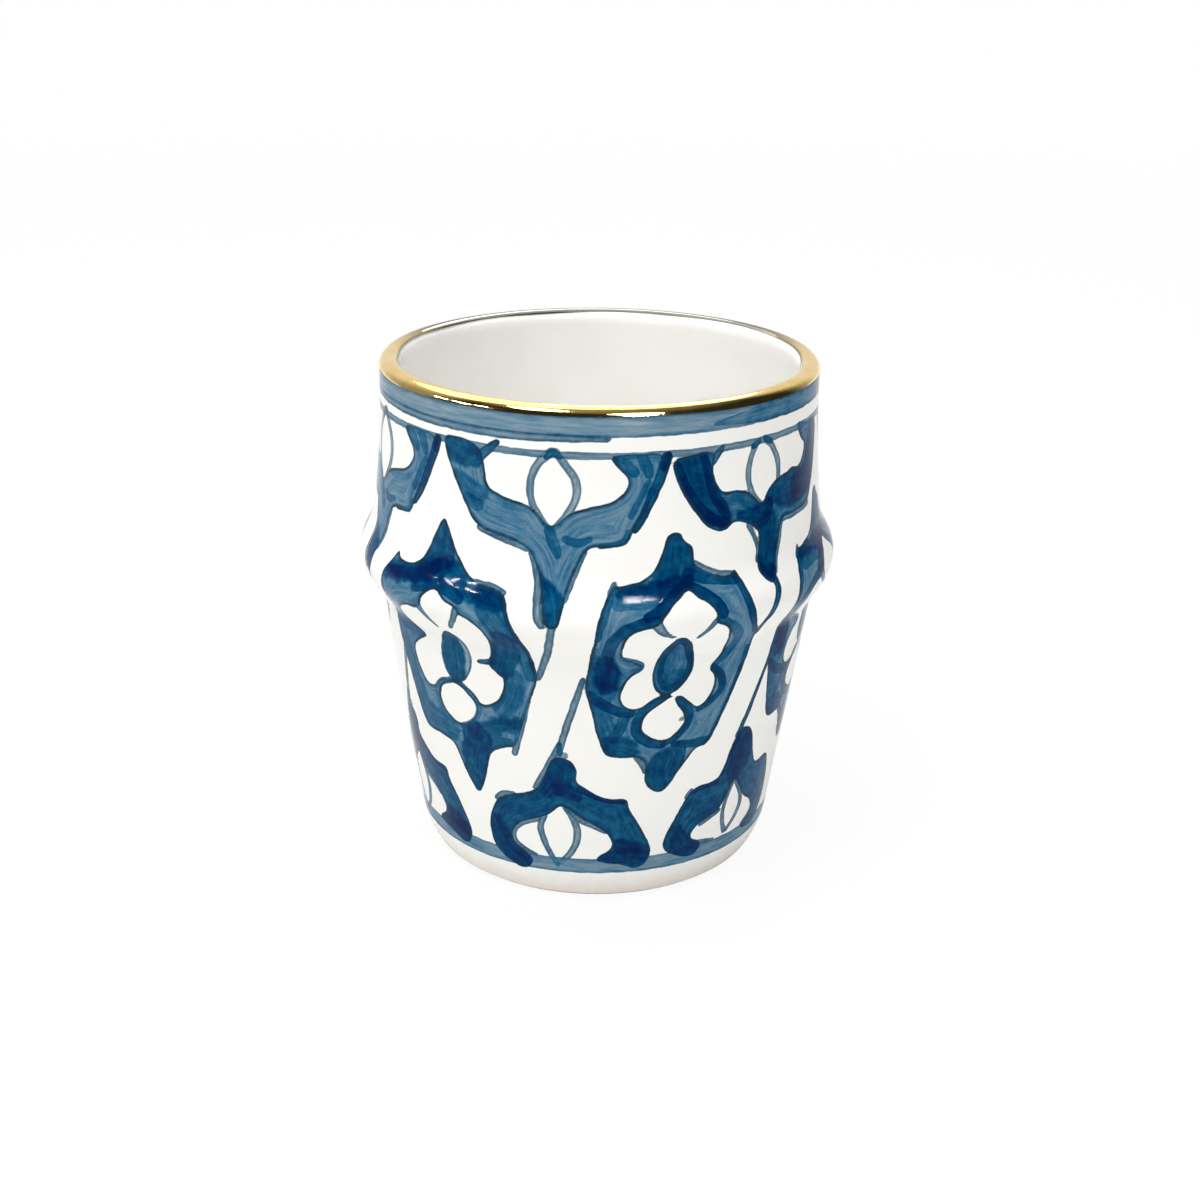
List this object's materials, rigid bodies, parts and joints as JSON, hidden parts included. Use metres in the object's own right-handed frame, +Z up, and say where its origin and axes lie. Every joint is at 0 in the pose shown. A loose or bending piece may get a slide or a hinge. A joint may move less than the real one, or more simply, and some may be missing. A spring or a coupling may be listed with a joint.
{
  "type": "coffee cup",
  "caption": "Handleless coffee cup of glazed earthenware with a rolled ridge round its belly, a tapering lower wall, a bare foot ring, a blue painted lattice and a gilt lip.",
  "frame": {"origin": "middle of the foot, on the plane that the cup stands on", "axes": "+Z up along the cup's axis; the cup is round, so X and Y are free"},
  "size_m": [0.079, 0.079, 0.0843],
  "materials": {
    "bare_clay": "fired unglazed clay, matt",
    "white_glaze": "warm white glaze, glossy",
    "painted_glaze": "white glaze with blue brush painting, glossy",
    "gilding": "bright gold lustre"
  },
  "bodies": {
    "root": {"clay_body": "bare_clay", "inner_glaze": "white_glaze", "outer_glaze": "painted_glaze", "gold_rim": "gilding"}
  },
  "joints": []
}
